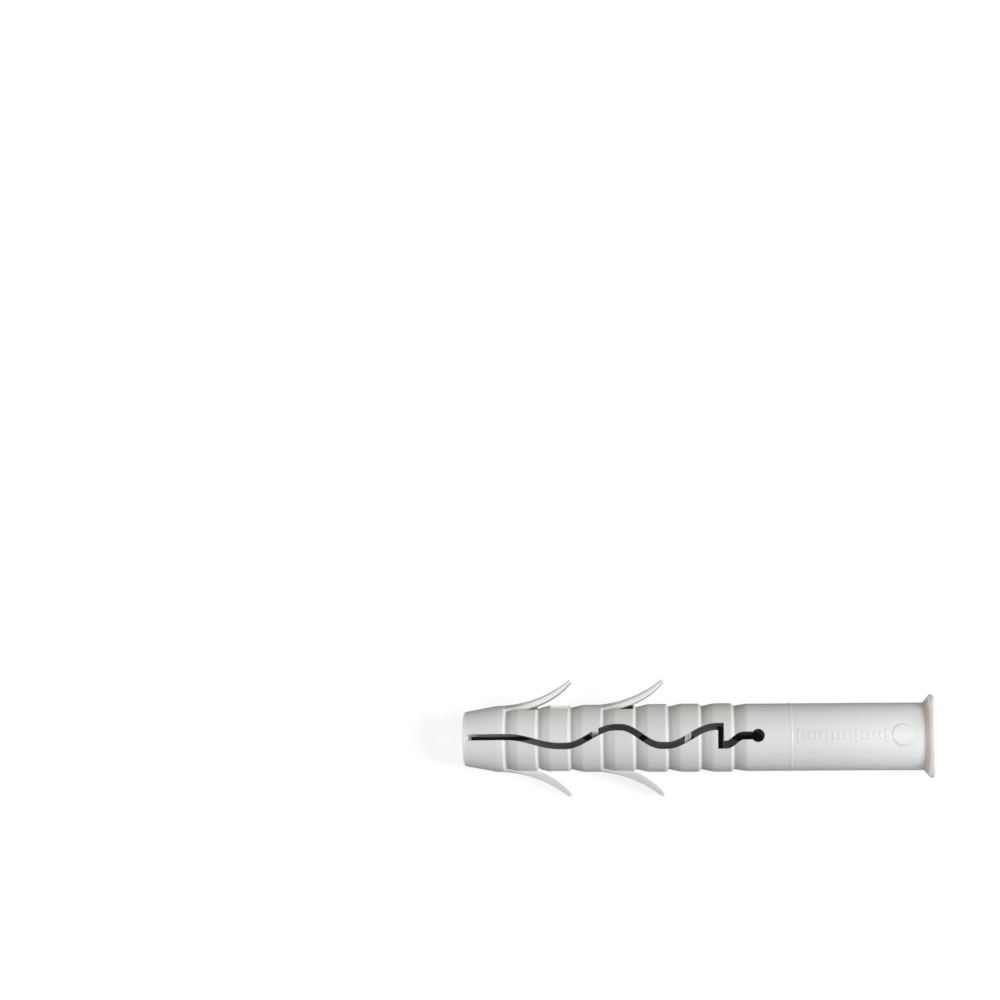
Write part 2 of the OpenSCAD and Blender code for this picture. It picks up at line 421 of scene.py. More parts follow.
def lathe_shape():
    """Rounds an outline's corners and turns it round the plug's axis."""
    shape = Shape("plug_lathe", Segments="Int", Corner_Steps="Int", Material="Material")
    segments = shape.given("Segments")
    curve = rounded_line(shape)
    count = shape.node("GeometryNodeAttributeDomainSize", {"component": "CURVE"},
                       {"Geometry": curve}, output="Point Count")
    rows = segments + 1
    grid = shape.node("GeometryNodeMeshGrid", {}, {"Vertices X": count + 1, "Vertices Y": rows})
    index = shape.node("GeometryNodeInputIndex")
    column = ((index + 0.5) / rows).floor()
    turn = (index - column * rows) / segments * math.tau
    corner = shape.node("GeometryNodeSampleIndex", {"data_type": "FLOAT_VECTOR"}, {
        "Geometry": curve, "Value": shape.node("GeometryNodeInputPosition"),
        "Index": column % count,
    })
    x, radius, _ = shape.parts(corner)
    place = shape.vector(x, radius * turn.cosine(), radius * turn.sine())
    turned = shape.node("GeometryNodeSetPosition", {}, {"Geometry": grid, "Position": place})
    closed = shape.node("GeometryNodeMergeByDistance", {}, {"Geometry": turned, "Distance": 0.0001})
    return shape.end(closed)


def pairs_shape():
    """Repeats a form along the plug, and repeats the row turned half round the axis."""
    shape = Shape("plug_pairs", Count="Int", Spacing="Float", Material="Material")
    points = shape.node("GeometryNodeMeshLine", {}, {
        "Count": shape.given("Count"), "Offset": shape.vector(shape.given("Spacing")),
    })
    row = shape.node("GeometryNodeInstanceOnPoints", {}, {
        "Points": points, "Instance": shape.given("Geometry"),
    })
    row = shape.node("GeometryNodeRealizeInstances", {}, {"Geometry": row})
    return shape.end(both_sides(shape, row))


def prism(outline, low, high):
    """Solid over an outline of points in X and Y, between two heights."""
    count = len(outline)
    points = [(x, y, z) for z in (low, high) for x, y in outline]
    sides = [(k, (k + 1) % count, count + (k + 1) % count, count + k) for k in range(count)]
    ends = [tuple(range(count)), tuple(range(count, 2 * count))]
    return outwards(mesh_of("block", points, sides + ends))


def block(low, high):
    """Box between its lowest and its highest corner."""
    (x0, y0, z0), (x1, y1, z1) = low, high
    return prism([(x0, y0), (x1, y0), (x1, y1), (x0, y1)], z0, z1)


def channel(line, start_w, end_w, low, high):
    """Solid that follows a line, with its width changing evenly from end to end."""
    sides = []
    for k, point in enumerate(line):
        along = (line[min(k + 1, len(line) - 1)] - line[max(k - 1, 0)]).normalized()
        width = mixed(start_w, end_w, (point.x - line[0].x) / (line[-1].x - line[0].x))
        across = Vector((-along.y, along.x)) * width / 2
        sides.append((point + across, point - across))
    points = [(p.x, p.y, z) for pair in sides for p in pair for z in (low, high)]
    faces = [(0, 1, 3, 2), tuple(4 * (len(line) - 1) + k for k in (0, 2, 3, 1))]
    for k in range(len(line) - 1):
        a, b = 4 * k, 4 * k + 4
        faces += [(a, b, b + 1, a + 1), (a + 2, a + 3, b + 3, b + 2),
                  (a, a + 2, b + 2, b), (a + 1, b + 1, b + 3, a + 3)]
    return outwards(mesh_of("channel", points, faces))


def slope(start, end, steps):
    """Eased line from one turning point to the next."""
    return [Vector((mixed(start[0], end[0], k / steps),
                    mixed(start[1], end[1], (1 - math.cos(math.pi * k / steps)) / 2)))
            for k in range(steps + 1)]


def wave_line(steps):
    """Centre line of the wavy slot, up to the cross leg."""
    turns = [(WAVE_START, 0.0)]
    for place, side in WAVE_CRESTS:
        turns += [(place - CREST_FLAT / 2, side * WAVE_H), (place + CREST_FLAT / 2, side * WAVE_H)]
    turns.append((LEG_X - CREST_FLAT, WAVE_H))
    line = [Vector((NOSE_RING, 0.0))]
    for k in range(0, len(turns), 2):
        line += slope(turns[k], turns[k + 1], steps)
    return line + [Vector((LEG_X, WAVE_H))]


def foot_line(steps):
    """Centre line of the slot beyond the cross leg, up to the round hole."""
    start = FOOT_W / 2 - WAVE_H - SLOT_W / 2
    return ([Vector((LEG_X, start))]
            + slope((LEG_X + CREST_FLAT, start), (END_HOLE_X - FOOT_RUN, 0.0), steps)
            + [Vector((END_HOLE_X, 0.0))])


def barb_point(angle, depth):
    """Point of a barb at an angle along its curve and a depth below its outer edge."""
    return Vector(((BARB_R + depth) * math.sin(angle),
                   RING_R + BARB_R - (BARB_R + depth) * math.cos(angle)))


def barb_thickness(angle):
    """A barb keeps its thickness for most of its length and thins towards its tip."""
    return mixed(BARB_ROOT_T, BARB_TIP_T, (angle / BARB_ANGLE) ** 4)


def barb_section(top_r, thickness, lean, edge, steps):
    """Depth and height round a barb's section, whose outer side is round with the plug."""
    def outer(z):
        return (top_r - math.sqrt(top_r * top_r - z * z)) * lean

    def arc(centre_d, centre_z, start):
        angles = [math.radians(start + 90 * k / steps) for k in range(steps + 1)]
        return [(centre_d - edge * math.cos(a), centre_z + edge * math.sin(a)) for a in angles]

    front = arc(outer(BARB_FRONT) + edge, BARB_FRONT - edge, 0)
    front += arc(thickness - edge, BARB_FRONT - edge, 90)
    back = arc(thickness - edge, BARB_BACK + edge, 180)
    back += arc(outer(BARB_BACK) + edge, BARB_BACK + edge, 270)
    parts = 8
    between = [mixed(BARB_BACK + edge, BARB_FRONT - edge, k / parts) for k in range(1, parts)]
    return front + back + [(outer(z), z) for z in between]


def barb_mesh(edge, stations=36, tip_steps=6):
    """One barb at the start of the plug's axis: bent outwards, with soft edges and a round tip."""
    # Angle along the curve, distance beyond its end, and share of the full thickness
    rows = [(BARB_ANGLE * k / stations, 0.0, 1.0) for k in range(stations + 1)]
    for k in range(1, tip_steps + 1):
        swing = math.radians(84 * k / tip_steps)
        rows.append((BARB_ANGLE, BARB_TIP_T / 2 * math.sin(swing), math.cos(swing)))
    middle = (BARB_FRONT + BARB_BACK) / 2
    tip_narrowing = 0.06
    points = []
    for angle, beyond, share in rows:
        top = barb_point(angle, 0)
        inwards = Vector((math.sin(angle), -math.cos(angle)))
        along = Vector((math.cos(angle), math.sin(angle)))
        thickness = barb_thickness(angle)
        for depth, z in barb_section(top.y, thickness, math.cos(angle), edge, 3):
            depth = mixed(thickness / 2, depth, share)
            z = middle + (z - middle) * (1 - tip_narrowing * (1 - share))
            place = top + inwards * depth + along * beyond
            points.append((place.x, place.y, z))
    count = len(points) // len(rows)
    faces = [tuple(range(count)), tuple(range(len(points) - count, len(points)))]
    for row in range(len(rows) - 1):
        for k in range(count):
            a, b = row * count + k, row * count + (k + 1) % count
            faces.append((a, b, b + count, a + count))
    return outwards(mesh_of("barb", points, faces))


def notch_outline(steps=24):
    """Opening under a barb, between its inner curve and the notch's floor."""
    start = math.acos((RING_R + BARB_R - NOTCH_FLOOR) / (BARB_R + BARB_ROOT_T))
    end = math.asin(NOTCH_END / (BARB_R + BARB_ROOT_T))
    curve = [barb_point(mixed(start, end, k / steps), BARB_ROOT_T) for k in range(steps + 1)]
    return [(p.x, p.y) for p in curve] + [(NOTCH_END, NOTCH_FLOOR)]


def combined(base, tool, operation):
    """Joins another solid to a solid, or cuts it away."""
    modifier = base.modifiers.new("form", "BOOLEAN")
    modifier.operation = operation
    modifier.solver = "MANIFOLD"
    modifier.object = tool
    before = len(base.data.vertices)
    settled(base)
    bpy.data.objects.remove(tool)
    if len(base.data.vertices) < before / 2:
        raise RuntimeError("A form was lost while the body was cut")
    return base


def slot_cutters():
    """Solids that cut one slot: the wave with its webs left out, the foot, the leg and the hole."""
    wave = added("wave", channel(wave_line(32), SLOT_NOSE_W, SLOT_W, 0.0, OUTSIDE))
    for place in WEBS:
        web = block((place - WEB_L / 2, -OUTSIDE, WEB_FLOOR), (place + WEB_L / 2, OUTSIDE, WEB_TOP))
        combined(wave, added("web", web), "DIFFERENCE")
    cutters = [wave.data]
    bpy.data.objects.remove(wave)
    cutters.append(channel(foot_line(24), FOOT_W, FOOT_W, 0.0, OUTSIDE))
    reach = WAVE_H + SLOT_W / 2
    cutters.append(block((LEG_X - LEG_W / 2, -reach, 0.0), (LEG_X + LEG_W / 2, reach, OUTSIDE)))
    ring = [math.tau * k / 48 for k in range(48)]
    cutters.append(prism([(END_HOLE_X + END_HOLE_R * math.cos(a), END_HOLE_R * math.sin(a))
                          for a in ring], 0.0, OUTSIDE))
    return cutters


def plug_body(look, skin):
    """Rounds and turns the outline, adds barbs and seats, and cuts slots, notches and webs."""
    lathe = lathe_shape()
    pairs = pairs_shape()

    def on_both_sides(name, mesh, count=1):
        return pairs.made_on(name, mesh, Count=count, Spacing=BARB_GAP, Material=skin)

    outline = outline_mesh("plug_outline", [outline_corners()], True)
    body = lathe.made_on("plug_body", outline, Segments=look.segments,
                         Corner_Steps=look.corner_steps, Material=skin)
    outwards(body.data)
    turned = outline_normals(body.data)

    at_barb = Matrix.Translation((BARB_START, 0, 0))
    barb = barb_mesh(look.barb_edge)
    barb.transform(at_barb)
    combined(body, on_both_sides("barbs", barb, 2), "UNION")
    start, end = step_x(1) + RAMP_L, step_x(2) - STEP_L
    seat = block((start, NOTCH_FLOOR - SEAT_SUNK, BARB_BACK), (end, SEAT_FLOOR, BARB_FRONT))
    combined(body, on_both_sides("seats", seat), "UNION")

    over_seat = block((start, SEAT_FLOOR, BARB_BACK), (end, SEAT_FLOOR + SEAT_CLEAR, BARB_FRONT))
    for mesh in [over_seat] + slot_cutters():
        combined(body, on_both_sides("cut", mesh), "DIFFERENCE")
    notch = prism(notch_outline(), BARB_BACK, OUTSIDE)
    notch.transform(at_barb)
    combined(body, on_both_sides("notches", notch, 2), "DIFFERENCE")

    smooth_turned_faces(body.data, turned)
    skinned(body.data, skin)
    body.data.transform(rolled(Matrix.Scale(MM, 4) @ Matrix.Translation((-PLUG_L, 0, 0))))
    return body


def outline_normals(mesh):
    """Pieces of the turned outline, by place along the plug: both ends with their normals."""
    line = {v.index: v for v in mesh.vertices if abs(v.co.z) < 1e-4 and v.co.y > 0}
    edges = [edge.vertices for edge in mesh.edges if all(k in line for k in edge.vertices)]
    # A corner's rounding meets a straight run smoothly, so the longer neighbour sets the normal
    normals = {k: Vector((0, 0)) for k in line}
    for first, last in edges:
        along = (line[last].co - line[first].co).xy
        out = Vector((-along.y, along.x)).normalized()
        if out.dot(line[first].normal.xy + line[last].normal.xy) < 0:
            out = -out
        for k in (first, last):
            normals[k] += out * along.length ** 3
    ends = {k: (v.co.x, v.co.y, *normals[k].normalized()) for k, v in line.items()}
    pieces = {}
    for first, last in edges:
        a, b = ends[first], ends[last]
        for bin_x in range(math.floor(min(a[0], b[0])), math.floor(max(a[0], b[0])) + 1):
            pieces.setdefault(bin_x, []).append((a, b))
    return pieces


def nearest_on(piece, x, r):
    """How far along a piece of the outline a point lies, from 0 to 1, and how far off it is."""
    (x0, r0, _, _), (x1, r1, _, _) = piece
    along_x, along_r = x1 - x0, r1 - r0
    t = ((x - x0) * along_x + (r - r0) * along_r) / (along_x ** 2 + along_r ** 2)
    t = min(max(t, 0.0), 1.0)
    return t, math.hypot(x0 + t * along_x - x, r0 + t * along_r - r)


def smooth_turned_faces(mesh, pieces):
    """Gives faces of the turned outline the outline's own normals, and creases the rest."""
    mesh.shade_smooth()
    mesh.set_sharp_from_angle(angle=CREASE)
    normals = [corner.vector.copy() for corner in mesh.corner_normals]
    for face in mesh.polygons:
        centre = face.center
        radius = math.hypot(centre.y, centre.z)
        near = [(nearest_on(piece, centre.x, radius)[1], piece)
                for piece in pieces.get(math.floor(centre.x), ())]
        gap, piece = min(near, key=lambda item: item[0], default=(math.inf, None))
        if gap > NEAR_OUTLINE:
            continue
        a, b = piece
        outer = Vector((a[2] + b[2], a[3] + b[3])).normalized()
        out = Vector((outer.x, outer.y * centre.y / radius, outer.y * centre.z / radius))
        if out.dot(face.normal) < SAME_WAY:
            continue
        for corner in face.loop_indices:
            place = mesh.vertices[mesh.loops[corner].vertex_index].co
            r = math.hypot(place.y, place.z)
            t, _ = nearest_on(piece, place.x, r)
            nx, nr = mixed(a[2], b[2], t), mixed(a[3], b[3], t)
            normals[corner] = Vector((nx, nr * place.y / r, nr * place.z / r)).normalized()
    mesh.normals_split_custom_set(normals)


def raised_mark(shape, form, height, sink, side):
    """Shapes a flat solid into a raised mark: its top swells by side, and its foot sinks in."""
    x, y, z = shape.parts(shape.node("GeometryNodeInputPosition"))
    top = z.above(0.0)
    return shape.node("GeometryNodeSetPosition", {}, {
        "Geometry": form, "Position": shape.vector(x, y, top * (side * height + sink) - sink),
    })


def bent(shape, form, radius):
    """Bends a flat form round the plug's axis, at a radius."""
    x, y, z = shape.parts(shape.node("GeometryNodeInputPosition"))
    turn, reach = y / radius, z + radius
    return shape.node("GeometryNodeSetPosition", {}, {
        "Geometry": form, "Position": shape.vector(x, reach * turn.sine(), reach * turn.cosine()),
    })


def ticks_shape():
    """Row of raised bars, every fifth one full length, bent round the sleeve."""
    shape = Shape("sleeve_ticks", Count="Int", Spacing="Float", Width="Float", Length="Float",
                  Height="Float", Sink="Float", Radius="Float", Material="Material")
    bar = shape.node("GeometryNodeMeshCube", {}, {
        "Size": shape.vector(shape.given("Width"), shape.given("Length"), 1.0),
        "Vertices X": 9, "Vertices Y": 21, "Vertices Z": 2,
    })
    x, y, _ = shape.parts(shape.node("GeometryNodeInputPosition"))
    side = 1 - (x.size() * 2 / shape.given("Width")).raised(3.0)
    end = 1 - (y.size() * 2 / shape.given("Length")).raised(14.0)
    bar = raised_mark(shape, bar, shape.given("Height"), shape.given("Sink"), side * end)
    points = shape.node("GeometryNodeMeshLine", {}, {
        "Count": shape.given("Count"), "Offset": shape.vector(shape.given("Spacing")),
    })
    number = shape.node("GeometryNodeInputIndex")
    long_one = 1 - ((number + 0.5) % 5.0).above(1.0)
    row = shape.node("GeometryNodeInstanceOnPoints", {}, {
        "Points": points, "Instance": bar, "Scale": shape.vector(1.0, 0.62 + 0.38 * long_one, 1.0),
    })
    row = shape.node("GeometryNodeRealizeInstances", {}, {"Geometry": row})
    return shape.end(bent(shape, row, shape.given("Radius")))


def disc_shape():
    """Plain raised disc, bent round the sleeve."""
    shape = Shape("sleeve_disc", Disc_Radius="Float", Height="Float", Sink="Float", Radius="Float",
                  Material="Material")
    disc = shape.node("GeometryNodeMeshCylinder", {"fill_type": "TRIANGLE_FAN"}, {
        "Vertices": 64, "Side Segments": 1, "Fill Segments": 14,
        "Radius": shape.given("Disc_Radius"), "Depth": 1.0,
    })
    x, y, _ = shape.parts(shape.node("GeometryNodeInputPosition"))
    reach = (x * x + y * y).root() / shape.given("Disc_Radius")
    side = (1 - reach.raised(18.0)) * (0.7 + 0.3 * reach.raised(4.0))
    disc = raised_mark(shape, disc, shape.given("Height"), shape.given("Sink"), side)
    return shape.end(bent(shape, disc, shape.given("Radius")))


def seam_shape():
    """Fine ridge along an outline, and again half round the plug."""
    shape = Shape("parting_ridge", Thickness="Float", Sides="Int", Corner_Steps="Int",
                  Material="Material")
    section = shape.node("GeometryNodeCurvePrimitiveCircle", {}, {
        "Resolution": shape.given("Sides"), "Radius": shape.given("Thickness") / 2,
    })
    ridge = shape.node("GeometryNodeCurveToMesh", {}, {
        "Curve": rounded_line(shape), "Profile Curve": section, "Fill Caps": True,
    })
    return shape.end(both_sides(shape, ridge))


def radius_at(corners, place):
    """Radius of the outer outline at a place along the plug."""
    for (x0, r0, _), (x1, r1, _) in zip(corners, corners[1:]):
        if x0 <= place <= x1:
            return mixed(r0, r1, (place - x0) / (x1 - x0))
    return corners[-1][1]


def seam_runs(sink):
    """Stretches of the outline that carry the parting ridge: all but the places of the barbs."""
    corners = outer_corners()
    runs = []
    for start, end in RIDGE_STRETCHES:
        inner = [corner for corner in corners if start + 0.1 < corner[0] < end - 0.1]
        run = [(start, radius_at(corners, start), 0.0), *inner, (end, radius_at(corners, end), 0.0)]
        runs.append([(x, r - sink, rounding) for x, r, rounding in run])
    return runs


def laid(piece, skin, move=0.0):
    """Brings a piece from millimetres beside the nose to its place on the plug as it lies."""
    skinned(outwards(piece.data, 1e-4), skin)
    piece.data.shade_smooth()
    piece.data.transform(rolled(Matrix.Scale(MM, 4) @ Matrix.Translation((move - PLUG_L, 0, 0))))
    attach(piece, "root")
    return piece


def ring_tone(finish, look, tone, x, radius, speck):
    """Painted shade on the ramps and speckled at the bottom of the grooves, a darker ring zone, a
    painted highlight on the nose's edge and pale scuffs on the ring tops.
    """
    shading, scuff_and_highlight = colour(look.painted_shade_colour), colour(look.scuff_and_highlight_colour)
    in_rings = finish.span(x, -91.0, -90.9, -39.7, -39.6)
    behind_step = (x + (PLUG_L - FIRST_STEP)) % RING_PITCH
    # Painted shade on each ramp behind a step, which the step shades
    ramp = in_rings * finish.below(behind_step, RAMP_L - 0.4, RAMP_L + 0.15)
    ramp = ramp * finish.below(radius, 7.1, 7.35)
    tone = finish.mix(ramp * look.ramp_shade, tone, shading)
    # Speckled painted shade at the bottom of the grooves
    low = finish.below(radius, 6.5, 6.85)
    tone = finish.mix(in_rings * low * 0.2 * speck, tone, shading)
    # The whole ring zone is made darker than the sleeve
    tone = finish.mix(in_rings * look.ring_shade, tone, shading)
    # Painted highlight on the nose's rounded edge
    tone = finish.mix(finish.below(x, -99.75, -99.2), tone, scuff_and_highlight)
    high = finish.step(radius, 7.0, 7.2) * in_rings
    return finish.mix(high * finish.step(speck, 0.52, 0.7) * 0.35, tone, scuff_and_highlight)


def inside_tone(finish, look, tone, x, y, radius):
    """Painted shade inside the expansion zone and on the webs, and where that inside is."""
    dark = colour(look.inside_shade_colour)
    cone_r, cone_rise = 5.71, 0.184
    outer = (cone_r + cone_rise * (x + PLUG_L)).least(NOSE_TOP_R)
    # Painted shade on the walls deep under the outer surface, seen through the slots
    inside = finish.step(outer - radius, 0.7, 1.6) * finish.below(y.size(), 3.2, 4.2)
    inside = inside * finish.span(x, -98.0, -97.3, -42.0, -38.0)
    tone = finish.mix(inside * look.inside_shade, tone, dark)
    # Painted shade on the two webs, which lie under the slot's edges
    for place, shade in zip(WEBS, look.web_shade):
        aside = (x + (PLUG_L - place)).size()
        web = finish.below(aside, WEB_L / 2, WEB_L / 2 + 0.1) * finish.below(radius, WEB_TOP, 6.5)
        tone = finish.mix(web * shade, tone, dark)
    return tone, inside


def thin_places(finish, look, tone, inside, x, y, radius):
    """Painted shade and painted glow on the thin barbs and beside the flare, and the painted glow
    of the inside behind the thin wall.
    """
    shading = colour(look.painted_shade_colour)
    _, toward_y, toward_z = finish.parts(finish.node("ShaderNodeNewGeometry", output=1))
    cosine, sine = math.cos(REST_ROLL), math.sin(REST_ROLL)
    facing_up = toward_z * cosine - toward_y * sine
    far = finish.step(y, -1.0, 1.0)
    facing_out = (toward_y * cosine + toward_z * sine) * (far * 2.0 - 1.0)

    # Painted shade on the barbs' broad faces and on the sides of the near barbs, and painted light
    # as a glow on the far barbs' sides and on the outer faces
    barb = finish.step(radius, 7.3, 7.9) * finish.below(x, -57.5, -55.5)
    side = finish.step(facing_up.size(), 0.3, 0.8)
    darkened = (1.0 - side) * look.barb_shade + side * (1.0 - far) * look.barb_near_shade
    tone = finish.mix(barb * darkened, tone, shading)
    # Painted light: glow on the far barbs' sides and on the barbs' outer faces
    outer_face = finish.step(facing_out, 0.1, 0.7)
    glow = barb * (side * far * look.barb_glow + outer_face * look.barb_back_glow)

    # Painted light as a glow on the sides of the sleeve next to the flare, and painted shade on the
    # sleeve's top there
    top = finish.below((y - 1.3).size(), 2.0, 4.3)
    on_sleeve = finish.below(x, -2.35, -2.2) * finish.step(radius, 6.6, 6.9)
    darkened_top = finish.step(x, -6.3, -4.3) * on_sleeve * top
    tone = finish.mix(darkened_top * look.flare_shade, tone, shading)
    by_flare = finish.step(x, -5.0, -2.4) * on_sleeve * (1.0 - top)
    # Painted light: the inside glows, standing in for light that the thin wall passes on
    glow = glow + by_flare * look.flare_glow + inside * look.inside_glow
    return tone, finish.mix(glow, grey(0.0), colour(look.nylon_colour))


def nylon_finish(look, name, translucency, level):
    """Moulded nylon: cloudy flow along the plug, painted shade in the grooves, a warm collar and a
    satin skin.
    """
    finish = Finish(name)
    place, (x, y, z) = finish.place()
    radius = (y * y + z * z).root()
    flow = finish.noise(finish.stretched(place, (0.05, 0.22, 0.22)), 1.0, 3.0)
    cloud = finish.noise(place, 0.35, 2.0)
    speck = finish.noise(place, 3.2, 3.0, 0.6)
    grain = finish.noise(place, 6.0, 2.0)

    tone = finish.mix(flow * 0.6 + cloud * 0.4, colour(look.shade_colour),
                      colour(look.nylon_colour))
    tone = ring_tone(finish, look, tone, x, radius, speck)
    warm = finish.step(x, -2.75, -2.35) * finish.step(radius, 6.5, 6.8)
    tone = finish.mix(warm, tone, colour(look.collar_colour))
    # Painted highlight: the collar's thin rim is made paler
    tone = finish.mix(finish.step(x, -1.85, -1.25), tone, colour(look.rim_highlight_colour))
    tone, inside = inside_tone(finish, look, tone, x, y, radius)
    # The level darkens the whole finish; on the marks' copy it is painted shade
    tone = finish.mix(1.0, tone, grey(level), "MULTIPLY")
    tone, glow = thin_places(finish, look, tone, inside, x, y, radius)

    soft_edge = finish.node("ShaderNodeBevel", {"samples": 4}, {"Radius": look.edge_softness * MM})
    bump = finish.node("ShaderNodeBump", {}, {
        "Strength": look.grain_strength,
        "Distance": 0.02 * MM,
        "Height": grain + cloud * 4.0,
        "Normal": soft_edge,
    })
    shader = finish.node("ShaderNodeBsdfPrincipled", {}, {
        "Base Color": tone,
        "Roughness": 0.36 + speck * 0.14 + warm * 0.05,
        "Normal": bump,
        "IOR": 1.53,
        "Subsurface Weight": translucency,
        "Subsurface Radius": (1.0, 0.95, 0.85),
        "Subsurface Scale": 1.0 * MM,
        "Emission Color": glow,
        "Emission Strength": 1.0,
    })
    return finish.surface(shader)


def floor_finish(look):
    """Pale floor, white to the camera with a soft shadow, and a painted shadow under the slots."""
    finish = Finish("pale_floor")
    by_camera = finish.node("ShaderNodeLightPath")
    place = finish.stretched(finish.node("ShaderNodeTexCoord", output=3), (1 / MM, 1 / MM, 1 / MM))
    x, y, _ = finish.parts(place)
    cloud = finish.noise(place, 0.004, 2.0)
    darker = colour([part * 0.985 for part in look.floor_colour])
    pale = finish.mix(cloud, darker, colour(look.floor_colour))

    # Painted shadow: the floor is dark along the line where the slots open onto it, where hardly
    # any light comes in
    aside = COLLAR_R * math.tan(REST_ROLL) + 0.9
    by_leg = finish.below((x + (PLUG_L - LEG_X)).size(), 2.5, 4.0)
    reach = 1.4 + by_leg * 2.4
    painted_shadow = finish.below((y - aside).size(), reach, reach + 1.6)
    painted_shadow = painted_shadow * finish.span(x, -99.9, -98.6, -34.0, -31.0)
    pale = finish.mix(painted_shadow, pale, grey(0.01))
    open_floor = finish.mix(painted_shadow, grey(1.0), grey(0.006))

    plain = finish.node("ShaderNodeBsdfDiffuse", {}, {"Color": pale})
    lifted = finish.node("ShaderNodeMixShader", {}, {
        0: look.shadow_depth,
        1: finish.node("ShaderNodeEmission", {}, {"Color": open_floor, "Strength": 1.0}),
        2: finish.node("ShaderNodeBsdfDiffuse", {}, {
            "Color": finish.mix(1.0, pale, grey(look.floor_lift), "MULTIPLY"),
        }),
    })
    shader = finish.node("ShaderNodeMixShader", {}, {0: by_camera, 1: plain, 2: lifted})
    return finish.surface(shader)


class BodyLook(bpy.types.PropertyGroup):
    segments: IntProperty(
        name="Segments", description="Number of sides of everything round",
        default=144, min=24, max=256)
    corner_steps: IntProperty(
        name="Corner Steps", description="Number of points on each rounded corner",
        default=4, min=1, max=12)
    barb_edge: FloatProperty(
        name="Barb Edge", description="Rounding of the barbs' long edges in millimetres",
        default=0.26, min=0.05, max=0.4)


class NylonLook(bpy.types.PropertyGroup):
    nylon_colour: FloatVectorProperty(
        name="Nylon", description="Colour of the thick, light places", subtype="COLOR",
        default=(0.738, 0.738, 0.742), min=0, max=1)
    shade_colour: FloatVectorProperty(
        name="Flow", description="Colour of the darker flow clouds", subtype="COLOR",
        default=(0.70, 0.70, 0.705), min=0, max=1)
    # Painted shade: this colour darkens the ramps, the bottom of the grooves, the ring zone, the
    # barbs' faces and the sleeve's top by the flare
    painted_shade_colour: FloatVectorProperty(
        name="Dust", description="Colour of the dust in the grooves", subtype="COLOR",
        default=(0.50, 0.50, 0.48), min=0, max=1)
    # Painted shade on the ramps between the rings
    ramp_shade: FloatProperty(
        name="Ramp Shade", description="How dull the ramps between the rings are", subtype="FACTOR",
        default=0.35, min=0, max=1)
    # How much darker the ring zone is made than the sleeve
    ring_shade: FloatProperty(
        name="Ring Shade", description="How dull the rings are, next to the sleeve",
        subtype="FACTOR", default=0.18, min=0, max=1)
    # Colour of the scuffs on the ring tops, and of the painted highlight on the nose's edge
    scuff_and_highlight_colour: FloatVectorProperty(
        name="Scuffs", description="Colour of the rubbed ring edges", subtype="COLOR",
        default=(0.82, 0.82, 0.82), min=0, max=1)
    collar_colour: FloatVectorProperty(
        name="Collar", description="Warmer colour of the collar's flare", subtype="COLOR",
        default=(0.61, 0.52, 0.44), min=0, max=1)
    # Painted highlight on the collar's thin rim
    rim_highlight_colour: FloatVectorProperty(
        name="Rim", description="Paler colour of the collar's thin rim", subtype="COLOR",
        default=(0.88, 0.86, 0.82), min=0, max=1)
    # Painted shade deep inside the expansion zone
    inside_shade_colour: FloatVectorProperty(
        name="Inside", description="Colour deep inside the expansion zone", subtype="COLOR",
        default=(0.10, 0.10, 0.10), min=0, max=1)
    inside_shade: FloatProperty(
        name="Inside Shade", description="How far the inside colour takes over", subtype="FACTOR",
        default=0.8, min=0, max=1)
    # Painted light: a glow on the inside, for light that the thin wall passes on
    inside_glow: FloatProperty(
        name="Inside Glow",
        description="Light that the thin wall passes on to the expansion zone's inside",
        subtype="FACTOR", default=0.035, min=0, max=1)
    # Painted shade on the two webs
    web_shade: FloatVectorProperty(
        name="Web Shade", description="How dark the two webs across the slot are", size=2,
        default=(0.85, 0.45), min=0, max=1)
    # Painted shade on the barbs' broad faces
    barb_shade: FloatProperty(
        name="Barb Shade", description="How dull the broad faces of the barbs are",
        subtype="FACTOR", default=0.5, min=0, max=1)
    # Painted shade on the sides of the near barbs
    barb_near_shade: FloatProperty(
        name="Barb Near Shade", description="How dull the sides of the near barbs are",
        subtype="FACTOR", default=0.5, min=0, max=1)
    # Painted light: a glow on the far barbs' sides
    barb_glow: FloatProperty(
        name="Barb Glow", description="Light that the thin barbs pass on to their sides",
        subtype="FACTOR", default=0.1, min=0, max=1)
    # Painted light: a glow on the barbs' outer faces
    barb_back_glow: FloatProperty(
        name="Barb Back Glow", description="Light that the thin barbs pass on to their outer faces",
        subtype="FACTOR", default=0.24, min=0, max=1)
    # Painted shade on the sleeve's top next to the flare
    flare_shade: FloatProperty(
        name="Flare Shade", description="How dull the top of the sleeve is next to the flare",
        subtype="FACTOR", default=0.3, min=0, max=1)
    # Painted light: a glow on the sleeve's sides next to the flare
    flare_glow: FloatProperty(
        name="Flare Glow", description="Light that the thin flare passes on to the sleeve",
        subtype="FACTOR", default=0.06, min=0, max=1)
    edge_softness: FloatProperty(
        name="Edge Softness",
        description="Rounding that the light sees on every sharp edge, in millimetres",
        default=0.1, min=0, max=0.3)
    grain_strength: FloatProperty(
        name="Grain", description="Strength of the mould's fine grain", subtype="FACTOR",
        default=0.35, min=0, max=1)
    translucency: FloatProperty(
        name="Translucency", description="Share of the light that passes through the skin",
        subtype="FACTOR", default=0.5, min=0, max=1)


